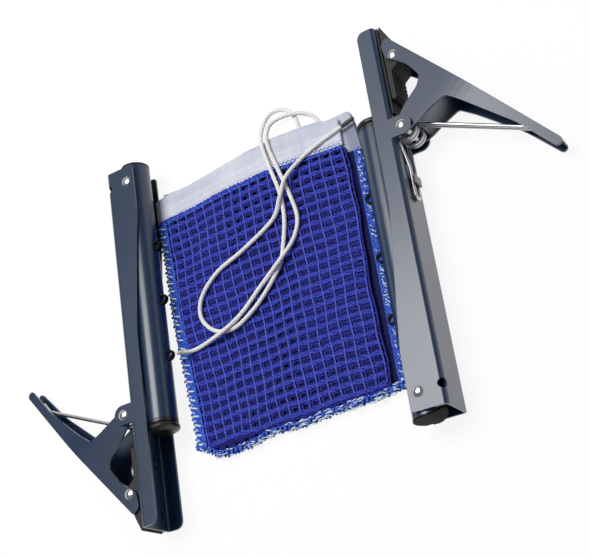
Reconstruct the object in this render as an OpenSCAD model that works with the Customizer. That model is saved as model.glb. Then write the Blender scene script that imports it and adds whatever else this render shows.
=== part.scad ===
// Table tennis net set, folded away: two identical clamp-and-post units lie on their
// side walls, turned half a turn to each other, with the folded net and its cord between.
//
// Every clamp piece is drawn in the unit's own frame: X runs along the arm from the
// post pivot to the jaw end, Y runs from the outside of the web to the open side, and
// Z runs across the width from the lower side wall to the upper one.

/* [Arm] */
// Outside width of the channel
arm_w = 22.4; // [20:0.2:26]
// Thickness of the channel's sheet
sheet = 1.2; // [0.8:0.1:1.6]
// Outside radius of the two long bends
bend_r = 2.4; // [1.8:0.1:3]
// Wall depth beside the post pivot
deep_wall = 17.4; // [16.5:0.1:20]
// Wall depth along the jaw end
shallow_wall = 9.3; // [7:0.1:10]
// Arm length past the post pivot, at the outer end
arm_tail = 8.6; // [7:0.1:10]
// Arm length from the post pivot to the jaw end
arm_reach = 184.4; // [180:0.1:200]
// Where the walls start to taper, from the post pivot
taper_start = 20; // [15:1:30]
// Where the taper ends
taper_end = 88; // [80:1:100]
// Radius of the two pin ears
ear_r = 5.1; // [4.5:0.1:6]

/* [Post] */
// Outside diameter of the post
post_d = 16; // [14:0.2:16.4]
// Wall thickness of the post
post_wall = 1; // [0.8:0.1:1.5]
// Height of the post pivot above the outside of the web
pivot_y = 12.6; // [12.2:0.1:13.4]
// Post length from the pivot to its free end
post_reach = 133.5; // [125:0.5:150]
// Gap between the post and the upper side wall
post_gap = 0.2; // [0.1:0.05:0.4]
// Diameter of the end cap's flange
flange_d = 17; // [16.6:0.1:17]
// Length of the end cap outside the post
cap_len = 6; // [5:0.5:9]
// Outside radius of a net hook
hook_r = 2.8; // [2.4:0.1:3.4]
// Distance from the post pivot to the first net hook
first_hook = 38.8; // [30:0.1:45]
// Spacing of the net hooks
hook_pitch = 31; // [26:0.5:34]

/* [Lever] */
// Outside width across the two cheeks
lever_w = 18.8; // [17:0.1:18.9]
// Outside width of the lever at its tip
tip_w = 9; // [7:0.5:14]
// How far the tip hangs toward the lower wall
tip_lean = 3.2; // [0:0.1:3.6]
// Thickness of the lever's sheet
lever_sheet = 1.2; // [0.8:0.1:1.6]
// Distance of the lever pin from the post pivot, along the arm
lever_x = 127; // [124:0.5:132]
// Height of the lever pin off the outside of the web
lever_y = 4.2; // [4.1:0.1:4.8]
// Angle between the lever's spine and the arm, with the jaw shut
spine_angle = 39.5; // [39:0.1:40]
// Distance from the lever pin to the outside of the spine
spine_off = 32.4; // [31.4:0.1:32.8]
// Distance from the lever pin to the tip, along the spine
tip_reach = 69; // [62:0.5:78]
// Distance from the lever pin to the jaw pin, along the spine
jaw_along = 29; // [28.6:0.1:29.4]
// Distance from the lever pin to the jaw pin, square to the spine
jaw_off = 26.7; // [26.4:0.1:27]

/* [Jaw] */
// Distance from the jaw pin to the pad's jaw end
pad_front = 18.7; // [16:0.1:20]
// Distance from the jaw pin to the pad's other end
pad_back = 22.6; // [18:0.1:24]
// Width of the pad
pad_w = 15.8; // [13:0.1:16]
// Thickness of the pad's plate
pad_t = 2.4; // [1.8:0.1:3]
// Radius of the pad's hub round the jaw pin
hub_r = 4.2; // [3.6:0.1:4.6]
// Number of ribs on the pad's back
rib_count = 7; // [3:1:8]
// Spacing of the ribs
rib_pitch = 2.1; // [1.8:0.1:2.2]
// Thickness of the rubber strip on the web
strip_t = 1; // [0.5:0.1:1.2]
// Gap between the shut pad and the strip
jaw_gap = 0.4; // [0.3:0.05:0.6]

/* [Spring] */
// Wire diameter
wire_d = 1.8; // [1.4:0.1:1.8]
// Radius of the coils, to the middle of the wire
coil_r = 4.9; // [4.6:0.1:5.4]
// Distance from one turn to the next
coil_pitch = 2.25; // [2.25:0.01:2.35]
// Whole turns in each of the two coils
coil_turns = 2; // [1:1:2]
// Half the distance between the two lever legs
leg_half = 1.15; // [1.15:0.01:1.3]
// Half the distance between the two sides of the arm loop
loop_half = 2.4; // [2.1:0.1:3.4]
// Where the arm loop leaves the web window, from the post pivot
loop_start = 110; // [108:0.5:112]
// Where the arm loop ends, from the post pivot
loop_end = 93; // [88:0.5:96]

/* [Pins] */
// Diameter of the three rivets of a unit
pin_d = 3.8; // [3:0.1:4.2]
// Diameter of a rivet head
head_d = 5.4; // [5:0.1:6.5]
// Height of a rivet head
head_h = 0.8; // [0.5:0.1:1]
// Radial running clearance round a rivet
run_gap = 0.05; // [0.02:0.01:0.1]

/* [Set] */
// Distance between the two webs
set_w = 164; // [160:0.5:170]
// Distance between the two post pivots, along the arms
set_l = 162.8; // [155:0.1:170]
// Turn of the right-hand unit against the left-hand one
right_turn = 179; // [178:0.5:180]

/* [Net] */
// Height of the folded net's top sheet above the floor
net_top = 5; // [4.6:0.1:5]
// Thickness of the lower stack of folds
lower_t = 2.4; // [1.8:0.1:2.6]
// Thickness of the open mesh sheet on top
mesh_t = 0.8; // [0.5:0.1:1]
// Mesh gaps across the folded net
gaps_x = 17; // [8:1:17]
// Mesh gaps down the folded net
gaps_y = 17; // [8:1:17]
// Width of a mesh strand
strand_w = 2; // [1.2:0.1:3]
// Width of the white tape along the top of the net
tape_w = 17.5; // [12:0.5:20]
// Thickness of one layer of tape
tape_t = 0.9; // [0.6:0.1:0.9]
// Diameter of the cord
cord_d = 2.2; // [1.8:0.1:2.4]

/* [Hidden] */
$fn = 48;
SIDES = ["left", "right"];
PIECES = ["arm", "post_tube", "post_cap", "post_plug", "post_hooks", "post_pin", "post_spacer",
    "lever", "lever_pin", "spring", "jaw_pad", "jaw_pin", "grip_strip"];
NET = ["net_lower", "net_upper", "net_mesh", "tape_back", "tape_left", "tape_right", "cord_long",
    "cord_short", "cord_tip"];

// Clearance between resting pieces, and overlap of the cutters
rest_gap = 0.3;
over = 1;

// Levels across a unit, from the outside of its lower wall
mid_z = arm_w / 2;
post_z = arm_w - sheet - post_gap - post_d / 2;

// Pins, in the unit's frame
lever_pin_at = [lever_x, -lever_y];
jaw_pin_at = lever_pin_at + turned([jaw_along, -jaw_off], spine_angle);
pin_hole_r = pin_d / 2 + run_gap;

// Web window that clears the coils
window_end = 134;
window_half = mid_z - bend_r - 0.6;
window_wide_x = 123;
window_neck = loop_half + 2.3;

// Lever outline, in a frame on its pin with X along the spine and the spine at negative Y
bar_depth = 4.2;
lobe_r = 5;
jaw_lobe = [jaw_along + 4.2, -jaw_off - 1.6];
spine_end = jaw_along + 3.4;
pin_end_r = 3.9;

// Jaw pad
pad_face_y = -strip_t - jaw_gap;

// Net levels
upper_top = net_top - mesh_t;
cord_lift = 0.15;
cord_z = net_top + cord_d / 2 + cord_lift;
cross_z = cord_z + 1.3 * cord_d;

// Net outline, from the left-hand post pivot's foot on its web: right and up
net_left = 17;
net_right = set_w - 30;
lower_right = net_right + 5;
net_bottom = 8.8 - set_l;
tape_top = -3.5;
tape_left_x = net_left - 1;
tape_step_x = across(0.641);

// Place across the net, by share of the way from its left edge to its right one
function across(share) = lerp(net_left, net_right, share);

// Place down the net, by share of the way from the tape's height to its foot
function down(share) = lerp(tape_top - tape_w, net_bottom, share);

// Places that only the cord decides
cord_sides = 8;
wire_sides = 6;

// ---------------------------------------------------------------- helpers

function turned(p, a) = [p.x * cos(a) - p.y * sin(a), p.x * sin(a) + p.y * cos(a)];
function unit(v) = v / norm(v);
function lerp(a, b, t) = a + (b - a) * t;

// Points of a round corner of radius r at b, on the way from a to c
function corner(a, b, c, r, steps = 6) =
    r == 0 ? [b] :
    let (
        u = unit(a - b),
        v = unit(c - b),
        half = acos(max(-1, min(1, u * v))) / 2,
        cut = r / tan(half),
        mid = b + unit(u + v) * r / sin(half),
        from = b + u * cut - mid,
        to = b + v * cut - mid,
        full = acos(max(-1, min(1, unit(from) * unit(to)))),
        way = from.x * to.y - from.y * to.x > 0 ? 1 : -1
    )
    [for (i = [0:steps]) mid + turned(from, way * full * i / steps)];

// Outline through corners [x, y, radius]
function rounded(pts) =
    let (n = len(pts))
    [for (i = [0:n - 1])
        let (
            a = pts[(i + n - 1) % n],
            b = pts[i],
            c = pts[(i + 1) % n]
        )
        each corner([a.x, a.y], [b.x, b.y], [c.x, c.y], b.z)];

// Rings of a round tube along a path; each ring's normal is carried on from the last
function tangent(path, i) =
    let (n = len(path))
    unit(path[min(i + 1, n - 1)] - path[max(i - 1, 0)]);
function carried(normal, along) = unit(normal - (normal * along) * along);
function normals(path, first) =
    [for (i = 0, v = carried(first, tangent(path, 0)); i < len(path);
        i = i + 1, v = i < len(path) ? carried(v, tangent(path, i)) : v) v];
function ring(centre, along, normal, r, sides) =
    let (side = cross(along, normal))
    [for (k = [0:sides - 1]) centre + r * (cos(360 * k / sides) * normal + sin(360 * k / sides) * side)];

module tube(path, d, sides, first) {
    frames = normals(path, first);
    n = len(path);
    rings = [for (i = [0:n - 1]) each ring(path[i], tangent(path, i), frames[i], d / 2, sides)];
    walls = [for (i = [0:n - 2]) for (k = [0:sides - 1])
        let (
            a = i * sides + k,
            b = i * sides + (k + 1) % sides
        )
        each [[a, a + sides, b], [b, a + sides, b + sides]]];
    start_cap = [for (k = [1:sides - 2]) [0, k, k + 1]];
    end_cap = [for (k = [1:sides - 2]) [(n - 1) * sides, (n - 1) * sides + k + 1, (n - 1) * sides + k]];
    polyhedron(points = rings, faces = concat(walls, start_cap, end_cap), convexity = 10);
}

// Plate of a given outline between two levels of the width
module plate(outline, z0, z1) {
    translate([0, 0, z0])
        linear_extrude(z1 - z0) polygon(outline);
}

// Domed rivet: shaft between two levels with a head on each end
module rivet(z0, z1) {
    dome_r = (pow(head_d / 2, 2) + pow(head_h, 2)) / (2 * head_h);
    translate([0, 0, z0]) cylinder(d = pin_d, h = z1 - z0);
    for (end = [0, 1])
        translate([0, 0, end == 0 ? z0 : z1]) mirror([0, 0, 1 - end])
            intersection() {
                translate([0, 0, head_h - dome_r]) sphere(r = dome_r);
                cylinder(d = head_d + over, h = head_h + over);
            }
}

// ---------------------------------------------------------------- arm

wall_outline = rounded([
    [-arm_tail, 0, 0],
    [arm_reach, 0, 0],
    [arm_reach, shallow_wall, 4],
    [taper_end, shallow_wall, 90],
    [taper_start, deep_wall, 90],
    [-arm_tail, deep_wall, 1.6]
]);

// Section of the channel: X from the web outwards, Y across the width
module channel_section(inset) {
    r = bend_r - inset;
    depth = deep_wall + over;
    translate([inset + r, inset]) square([depth - r, arm_w - 2 * inset]);
    translate([inset, inset + r]) square([depth, arm_w - 2 * inset - 2 * r]);
    for (y = [inset + r, arm_w - inset - r])
        translate([inset + r, y]) circle(r = r);
}

module channel() {
    length = arm_tail + arm_reach;
    intersection() {
        translate([-arm_tail, 0, 0]) rotate([90, 0, 90])
            linear_extrude(length)
                difference() {
                    channel_section(0);
                    channel_section(sheet);
                }
        plate(wall_outline, -over, arm_w + over);
    }
}

module ears() {
    foot = sheet + bend_r;
    for (z = [0, arm_w - sheet])
        translate([lever_pin_at.x, lever_pin_at.y, z]) {
            cylinder(r = ear_r, h = sheet);
            translate([-ear_r, 0, 0]) cube([2 * ear_r, lever_y + foot, sheet]);
        }
}

// Pressed tab that hooks over both sides of the spring's arm loop
tab_x = 99.5;
tab_len = 4.6;
tab_stem_half = loop_half - wire_d / 2 - rest_gap;
tab_plate_half = loop_half + wire_d / 2;
tab_clear = wire_d + 2 * rest_gap;
tab_plate_t = 0.8;
module spring_tab() {
    translate([tab_x, -tab_clear - tab_plate_t, mid_z - tab_stem_half])
        cube([tab_len, tab_clear + tab_plate_t + sheet / 2, 2 * tab_stem_half]);
    translate([tab_x, -tab_clear - tab_plate_t, mid_z - tab_plate_half])
        cube([tab_len, tab_plate_t, 2 * tab_plate_half]);
}

bend_hole_d = 4.4;
bend_hole_x = 0.7;
slot_x = 176.7;
slot_z = 5.9;
slot_len = 5;
slot_w = 2.6;
peg_holes = [[149, 7.2], [152.5, 6.6]];
peg_hole_d = 1.6;

module web_hole(x, z, d) {
    translate([x, -over, z]) rotate([-90, 0, 0]) cylinder(d = d, h = sheet + 2 * over);
}

module arm() {
    color([0.16, 0.22, 0.30]) difference() {
        union() {
            channel();
            ears();
            spring_tab();
        }
        // Window that the coils turn in, drawn in toward the arm loop
        translate([0, bend_r, mid_z]) rotate([90, 0, 0])
            linear_extrude(over + bend_r) polygon([
                [loop_start + 0.5, -window_neck],
                [window_wide_x, -window_half],
                [window_end, -window_half],
                [window_end, window_half],
                [window_wide_x, window_half],
                [loop_start + 0.5, window_neck]
            ]);
        // Drain hole through the upper bend
        translate([bend_hole_x, bend_r, arm_w - bend_r]) rotate([45, 0, 0])
            cylinder(d = bend_hole_d, h = 2 * bend_r);
        // Slot and peg holes near the jaw end
        for (end = [-1, 1])
            web_hole(slot_x + end * (slot_len - slot_w) / 2, slot_z, slot_w);
        translate([slot_x - (slot_len - slot_w) / 2, -over, slot_z - slot_w / 2])
            cube([slot_len - slot_w, sheet + 2 * over, slot_w]);
        for (hole = peg_holes)
            web_hole(hole.x, hole.y, peg_hole_d);
        // Pin holes
        translate([0, pivot_y, -over]) cylinder(d = pin_d, h = arm_w + 2 * over);
        translate([lever_pin_at.x, lever_pin_at.y, -over]) cylinder(d = pin_d, h = arm_w + 2 * over);
    }
}

module lever_pin() {
    color([0.85, 0.85, 0.87])
        translate([lever_pin_at.x, lever_pin_at.y, 0]) rivet(0, arm_w);
}

module post_pin() {
    color([0.85, 0.85, 0.87])
        translate([0, pivot_y, 0]) rivet(0, arm_w);
}

module post_spacer() {
    height = post_z - post_d / 2 - sheet - post_gap / 2;
    color([0.1, 0.1, 0.11])
        translate([0, pivot_y, sheet]) difference() {
            cylinder(d = 2 * pin_d, h = height);
            translate([0, 0, -over]) cylinder(d = pin_d, h = height + 2 * over);
        }
}

// Rubber strip on the outside of the web, facing the jaw
strip_start = window_end + 2;
module grip_strip() {
    color([0.07, 0.07, 0.08])
        translate([strip_start, -strip_t, bend_r + rest_gap])
            cube([arm_reach - strip_start, strip_t, arm_w - 2 * bend_r - 2 * rest_gap]);
}

// ---------------------------------------------------------------- post

// The closed end stays inside this radius on the web's side, so it can turn past the web
nose_r = pivot_y - sheet - rest_gap;

// Both plugs stop this short of the tube, and the one in the closed end has a rim over its edge
plug_gap = 0.05;
plug_rim = 0.9;
plug_r = post_d / 2 - post_wall - plug_gap;

// Bar along the post from -r, with the corner that swings past the web rounded about the pivot
module nose_bar(r, d, length) {
    difference() {
        translate([-r, pivot_y, post_z]) rotate([0, 90, 0]) cylinder(d = d, h = length);
        translate([-r - over, pivot_y - r - over, 0])
            difference() {
                cube([r + over, r + over, arm_w]);
                translate([r + over, r + over, -over]) cylinder(r = r, h = arm_w + 2 * over);
            }
    }
}

module post_tube() {
    tube_nose = nose_r - plug_rim - plug_gap;
    color([0.16, 0.22, 0.30]) difference() {
        nose_bar(tube_nose, post_d, tube_nose + post_reach);
        translate([-nose_r, pivot_y, post_z]) rotate([0, 90, 0])
            cylinder(d = post_d - 2 * post_wall, h = nose_r + post_reach + over);
        translate([0, pivot_y, 0]) cylinder(r = pin_hole_r, h = arm_w);
    }
}

module post_cap() {
    plug_len = 8;
    ring_r = post_d / 2;
    neck = 2.2;
    lip_r = 1.5;
    tip_r = ring_r - 1.4;
    color([0.05, 0.05, 0.06])
        translate([post_reach, pivot_y, post_z]) rotate([0, 90, 0])
            rotate_extrude()
                polygon([
                    [0, -plug_len],
                    [plug_r, -plug_len],
                    [plug_r, 0],
                    [ring_r, 0],
                    [ring_r, neck - 0.4],
                    each [for (a = [-75:25:75])
                        [flange_d / 2 - lip_r + lip_r * cos(a), neck + lip_r + lip_r * sin(a)]],
                    [tip_r, cap_len - 0.5],
                    [tip_r - 0.7, cap_len],
                    [0, cap_len]
                ]);
}

// Moulded plug in the closed end: its rim covers the tube's end, and has a notch on the floor's side
module post_plug() {
    notch_wide = 2.2;
    notch_deep = 1.6;
    body_end = nose_r - plug_rim / 2;
    color([0.05, 0.05, 0.06]) difference() {
        union() {
            nose_bar(body_end, 2 * plug_r, body_end - pin_d / 2 - over);
            difference() {
                nose_bar(nose_r, post_d, nose_r);
                nose_bar(nose_r - plug_rim, post_d + 2 * over, nose_r);
            }
        }
        translate([-nose_r - over, pivot_y + notch_wide, post_z - post_d / 2 - over])
            cube([over + notch_deep, notch_wide, notch_deep + over]);
    }
}

module post_hooks() {
    hook_t = 0.86 * hook_r;
    hook_y = pivot_y + post_d / 2 + hook_r / 7;
    eye_r = 0.54 * hook_r;
    color([0.05, 0.05, 0.06]) difference() {
        for (i = [0:2])
            translate([first_hook + i * hook_pitch, hook_y, post_z - hook_t / 2])
                difference() {
                    cylinder(r = hook_r, h = hook_t);
                    translate([0, 0.2 * hook_r, -over]) cylinder(r = eye_r, h = hook_t + 2 * over);
                }
        translate([0, pivot_y, post_z]) rotate([0, 90, 0])
            cylinder(d = post_d, h = post_reach);
    }
}

// ---------------------------------------------------------------- lever

// Corners [x, y, radius] from the tip along the inside edge to the jaw and back along the spine
lever_outline = rounded([
    [-tip_reach, -spine_off, 2.2],
    [-tip_reach, -spine_off + bar_depth, 1.9],
    [-46, -spine_off + bar_depth, 60],
    [-18, -spine_off + 8.2, 30],
    [-9, -spine_off + 10.3, 2.5],
    [-7, -spine_off + 17.7, 12],
    [-5.4, -5.8, 3],
    [-pin_end_r, -1, 2],
    [-pin_end_r * 0.6, pin_end_r, 2.2],
    [pin_end_r * 0.6, pin_end_r, 2.2],
    [pin_end_r + 0.6, -1, 2],
    [6.2, -9.3, 6],
    [6.6, -19.3, 6],
    [9, -24.6, 3.5],
    [19, -26, 8],
    [26, -24.8, 4],
    [jaw_along + 2, jaw_lobe.y + lobe_r, 3.8],
    [jaw_lobe.x + lobe_r, jaw_lobe.y + 0.6, 3],
    [jaw_lobe.x + lobe_r, -spine_off, 1.2]
]);

// Width of the lever, by distance along the spine, less the inset on each side; it narrows in a slow curve
module lever_width(inset) {
    wide = lever_w / 2 - inset;
    narrow = tip_w / 2 - inset;
    far = jaw_lobe.x + lobe_r + over;
    polygon(rounded([
        [-tip_reach, -narrow - tip_lean, 0],
        [-15, -wide, 300],
        [far, -wide, 0],
        [far, wide, 0],
        [-15, wide, 150],
        [-tip_reach, narrow - tip_lean, 0]
    ]));
}

// Lever in its own frame, with the pin at the origin and the width centred on Z = 0
module lever_body() {
    tall = spine_off + 2 * pin_end_r;
    difference() {
        intersection() {
            plate(lever_outline, -lever_w, lever_w);
            translate([0, pin_end_r + over, 0]) rotate([90, 0, 0])
                linear_extrude(tall + over) lever_width(0);
        }
        translate([0, pin_end_r + over, 0]) rotate([90, 0, 0])
            linear_extrude(pin_end_r + over + spine_off - lever_sheet) lever_width(lever_sheet);
        // The spine ends short of the cheeks, clear of the pad
        translate([spine_end, -spine_off - over, lever_sheet - lever_w / 2])
            cube([tall, lever_sheet + 2 * over, lever_w - 2 * lever_sheet]);
        for (pin = [[0, 0], [jaw_along, -jaw_off]])
            translate([pin.x, pin.y, -lever_w]) cylinder(r = pin_hole_r, h = 2 * lever_w);
    }
}

module on_lever_pin() {
    translate([lever_pin_at.x, lever_pin_at.y, mid_z]) rotate(spine_angle) children();
}

module lever() {
    color([0.16, 0.22, 0.30]) on_lever_pin() lever_body();
}

module jaw_pin() {
    color([0.85, 0.85, 0.87])
        translate([jaw_pin_at.x, jaw_pin_at.y, mid_z]) rivet(-lever_w / 2, lever_w / 2);
}

// ---------------------------------------------------------------- jaw

module jaw_pad() {
    face = pad_face_y - jaw_pin_at.y;
    back = face - pad_t;
    outline = rounded([
        [-pad_back, face, 0.6],
        [pad_front, face, 0],
        [pad_front, face - 0.7, 0],
        [12.3, 1.5, 1],
        [hub_r, -1.4, 1],
        [0, -hub_r, 0],
        [-hub_r, -1.4, 0],
        [-hub_r - 3, back, 1],
        [-pad_back, back, 0.6]
    ]);
    color([0.07, 0.07, 0.08])
        translate([jaw_pin_at.x, jaw_pin_at.y, mid_z])
            difference() {
                union() {
                    plate(outline, -pad_w / 2, pad_w / 2);
                    translate([0, 0, -pad_w / 2]) cylinder(r = hub_r, h = pad_w);
                    for (i = [0:rib_count - 1])
                        translate([-pad_back + 1.2 + i * rib_pitch, back - 0.7, -pad_w / 2 + 1.2])
                            cube([rib_pitch / 2, 1, pad_w - 2.4]);
                }
                cylinder(r = pin_hole_r, h = 2 * pad_w, center = true);
            }
}

// ---------------------------------------------------------------- spring

// Foot of the lever legs, just under the spine, seen from the lever pin. The legs leave
// the coils at one angle, and the arm loop's sides at the other.
leg_foot = turned([-0.757 * tip_reach, -spine_off + lever_sheet + 0.55 * wire_d], spine_angle);
lever_leg_angle = atan2(leg_foot.y, leg_foot.x) + acos(coil_r / norm(leg_foot));
wire_y = -wire_d / 2 - rest_gap;
loop_span = norm([lever_x - loop_start, -lever_y - wire_y]);
loop_tilt = asin(coil_r / loop_span) - atan((lever_y + wire_y) / (lever_x - loop_start));
loop_leg_angle = 90 + loop_tilt;
coil_angle = 360 * coil_turns + loop_leg_angle - lever_leg_angle;
ring_angle = 45;
coil_steps = ceil(coil_angle / ring_angle);
coil_out_z = leg_half + coil_pitch * coil_angle / 360;

function on_coil(a, z) = [lever_pin_at.x + coil_r * cos(a), lever_pin_at.y + coil_r * sin(a), z];

// One half of the wire, from the lever leg's end to the middle of the arm loop. Its end
// hooks out along the spine, and leans with it.
function wire_half(way) = concat(
    [for (t = [0, 0.07, 0.4, 0.75])
        let (
            foot_z = way * leg_half - 0.2 * tip_lean,
            foot = [lever_pin_at.x + leg_foot.x, lever_pin_at.y + leg_foot.y, foot_z],
            bend = turned([-4.5 * wire_d, 0.1 * wire_d], spine_angle),
            hook = [bend.x, bend.y, -0.36 * tip_lean]
        )
        t == 0 ? foot + hook : lerp(foot, on_coil(lever_leg_angle, way * leg_half), t - 0.07)],
    [for (i = [0:coil_steps])
        on_coil(lever_leg_angle + coil_angle * i / coil_steps,
            way * lerp(leg_half, coil_out_z, i / coil_steps))],
    [
        [loop_start, wire_y, way * lerp(loop_half, coil_out_z, 0.2)],
        [loop_end + 3.4 * wire_d, wire_y, way * loop_half],
        [loop_end + wire_d, wire_y, way * loop_half],
        [loop_end + 0.28 * wire_d, wire_y, way * (loop_half - 0.28 * wire_d)],
        [loop_end, wire_y, way * (loop_half - 0.9 * wire_d)]
    ]
);
there = wire_half(1);
back = wire_half(-1);
wire_path = [for (p = concat(there, [for (i = [len(back) - 1:-1:0]) back[i]])) p + [0, 0, mid_z]];

module spring() {
    color([0.8, 0.8, 0.82]) tube(wire_path, wire_d, wire_sides, [0, 0, 1]);
}

// Least gap of the wire to itself, between points that lie well apart along it
wire_gap = min([for (i = [0:len(wire_path) - 1]) for (j = [i + 4:1:len(wire_path) - 1])
    norm(wire_path[i] - wire_path[j])]) - wire_d;
echo(least_gap_of_the_spring_wire_mm = wire_gap);

// ---------------------------------------------------------------- net

module slab(x0, x1, y0, y1, z0, z1) {
    translate([x0, y0, z0]) cube([x1 - x0, y1 - y0, z1 - z0]);
}

tape_bottom = tape_top - tape_w;

// Channel under the tape that takes the cord's two ends
cord_bay_x = [across(0.744), across(0.949)];
cord_bay_y = -11;

// Lower stack: clear of the left arm's tapering wall
module net_lower() {
    color([0.13, 0.16, 0.62]) linear_extrude(lower_t) polygon([
        [net_left + 2.6, tape_bottom + 3],
        [lower_right, tape_bottom + 1],
        [lower_right, net_bottom + 4],
        [across(0.86), net_bottom + 1],
        [across(0.47), net_bottom - 1],
        [across(0.14), net_bottom - 3],
        [across(0.08), net_bottom],
        [across(0.034), down(0.56)]
    ]);
}

module net_upper() {
    color([0.15, 0.18, 0.68]) translate([0, 0, lower_t])
        linear_extrude(upper_top - lower_t) polygon([
            [net_left + 1, tape_bottom],
            [net_right, tape_bottom],
            [net_right, net_bottom + 5],
            [across(0.47), net_bottom + 1],
            [across(0.145), net_bottom - 1],
            [across(0.094), net_bottom + 2],
            [across(0.043), down(0.56)]
        ]);
}

// Open mesh sheet: square gaps between strands
module net_mesh() {
    x0 = across(0.103);
    y0 = net_bottom + 4;
    pitch_x = (net_right - 1 - strand_w - x0) / gaps_x;
    pitch_y = (tape_bottom - 1 - strand_w - y0) / gaps_y;
    color([0.20, 0.23, 0.78]) translate([x0, y0, upper_top])
        linear_extrude(mesh_t) difference() {
            square([gaps_x * pitch_x + strand_w, gaps_y * pitch_y + strand_w]);
            for (i = [0:gaps_x - 1]) for (j = [0:gaps_y - 1])
                translate([strand_w + i * pitch_x, strand_w + j * pitch_y])
                    square([pitch_x - strand_w, pitch_y - strand_w]);
        }
}

// Back layers of tape, with a bay underneath for the cord's ends
module tape_back() {
    top = net_top - 2 * tape_t;
    color([0.88, 0.88, 0.92]) difference() {
        slab(net_left + 5.4, lower_right + 1, tape_bottom + 4, tape_top + 2, 0, top);
        slab(cord_bay_x[0], cord_bay_x[1], cord_bay_y, tape_top + 3, -over, cord_d + rest_gap);
    }
}

// Left front sheet: its end steps down onto the lower wall of the left-hand arm
module tape_left() {
    top = net_top - tape_t;
    low = head_h + sheet + rest_gap;
    color([0.92, 0.92, 0.95])
        translate([0, tape_top, 0]) rotate([90, 0, 0])
            linear_extrude(tape_w) polygon([
                [tape_left_x, low],
                [tape_left_x + 2.5, low],
                [tape_left_x + 6, top - tape_t],
                [tape_step_x + 4, top - tape_t],
                [tape_step_x + 4, top],
                [tape_left_x + 5.5, top],
                [tape_left_x + 2, low + tape_t],
                [tape_left_x, low + tape_t]
            ]);
}

module tape_right() {
    rise = 3.5;
    color([0.92, 0.92, 0.95])
        slab(tape_step_x, net_right - 2, tape_bottom + rise, tape_top + rise, net_top - tape_t, net_top);
}

// ---------------------------------------------------------------- cord

// Smooth path through hand-placed points
function spline(p, steps) =
    let (n = len(p))
    concat([for (i = [0:n - 2]) for (k = [0:steps - 1])
        let (
            a = p[max(i - 1, 0)],
            b = p[i],
            c = p[i + 1],
            d = p[min(i + 2, n - 1)],
            t = k / steps
        )
        0.5 * (2 * b + (c - a) * t + (2 * a - 5 * b + 4 * c - d) * t * t
            + (3 * b - a - 3 * c + d) * t * t * t)], [p[n - 1]]);

floor_z = cord_d / 2 + 0.1;

// The routes' points spread with the net: across it from the hook that holds the cord
hook_side_x = 25;
drawn_right = 134;
function on_net(route) = [for (p = route)
    [lerp(hook_side_x, net_right, (p.x - hook_side_x) / (drawn_right - hook_side_x)), p.y, p.z]];

// Long stretch: from the tip at the upper right, round the lower loop, under the tape
long_route = [
    [134.5, -12.5, cord_z],
    [121, -16, cord_z],
    [110, -20, cord_z],
    [100, -28.5, cross_z],
    [94.5, -38.5, cross_z],
    [87, -47, cord_z],
    [68, -56.5, cord_z],
    [51, -63, cord_z],
    [40, -73, cord_z],
    [38, -84, cord_z],
    [45, -93.5, cord_z],
    [56, -96, cord_z],
    [68, -90.5, cord_z],
    [78.5, -82, cord_z],
    [87.5, -71.5, cord_z],
    [91.5, -60, cord_z],
    [94, -47, cord_z],
    [93.5, -33, cord_z],
    [90, -16, cord_z],
    [87.5, -1, 5.6],
    [88.5, 10, 2.4],
    [93.5, 16, floor_z],
    [101, 15, floor_z],
    [107, 8, floor_z],
    [108.5, -3, floor_z]
];

// Short stretch: from the left post's last hook, over the long one, under the tape
short_route = [
    [25, -100.8, head_h + post_z],
    [32, -99.6, cord_z],
    [50, -97, cross_z],
    [61, -90, cord_z],
    [74, -80, cord_z],
    [88, -72, cross_z],
    [96.5, -62, cord_z],
    [101, -52, cord_z],
    [99.5, -39, cord_z],
    [94.5, -19, cord_z],
    [91.5, -6, cord_z],
    [91.8, 2, cord_z],
    [95.5, 8.5, 4.2],
    [107, 8.5, 3.7],
    [117, 4, 1.5],
    [122.4, -7, floor_z]
];

long_path = spline(on_net(long_route), 2);
short_path = spline(on_net(short_route), 2);

module cord_long() {
    color([0.95, 0.95, 0.92]) tube(long_path, cord_d, cord_sides, [0, 0, 1]);
}

module cord_short() {
    color([0.95, 0.95, 0.92]) tube(short_path, cord_d, cord_sides, [0, 0, 1]);
}

// Dark ferrule on the long stretch's end
module cord_tip() {
    along = unit(long_path[0] - long_path[1]);
    length = 7;
    color([0.2, 0.19, 0.17])
        translate(long_path[0]) rotate([0, 90, atan2(along.y, along.x)])
            cylinder(d = cord_d, h = length);
}

// ---------------------------------------------------------------- layout

// Outermost points of the set, which put its origin at the middle of its foot
lever_tip = lever_pin_at + turned([-tip_reach, -spine_off], spine_angle);
jaw_end = [jaw_pin_at.x + pad_front, pad_face_y];
function on_left(p) = [p.y - set_w / 2, set_l / 2 - p.x];
function on_right(p) = [set_w / 2, -set_l / 2] + turned(p, right_turn - 90);
shift = [
    (on_left(lever_tip).x + on_right(lever_tip).x) / 2,
    (on_left(jaw_end).y + on_right(jaw_end).y) / 2
];

module on_side(side) {
    at = side == "left" ? on_left([0, 0]) : on_right([0, 0]);
    turn = side == "left" ? -90 : right_turn - 90;
    translate([at.x - shift.x, at.y - shift.y, head_h]) rotate(turn) children();
}

module on_floor() {
    at = on_left([0, 0]);
    translate([at.x - shift.x, at.y - shift.y, 0]) children();
}

module clamp_piece(piece) {
    if (piece == "arm") arm();
    if (piece == "post_tube") post_tube();
    if (piece == "post_cap") post_cap();
    if (piece == "post_plug") post_plug();
    if (piece == "post_hooks") post_hooks();
    if (piece == "post_pin") post_pin();
    if (piece == "post_spacer") post_spacer();
    if (piece == "lever") lever();
    if (piece == "lever_pin") lever_pin();
    if (piece == "spring") spring();
    if (piece == "jaw_pad") jaw_pad();
    if (piece == "jaw_pin") jaw_pin();
    if (piece == "grip_strip") grip_strip();
}

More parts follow.
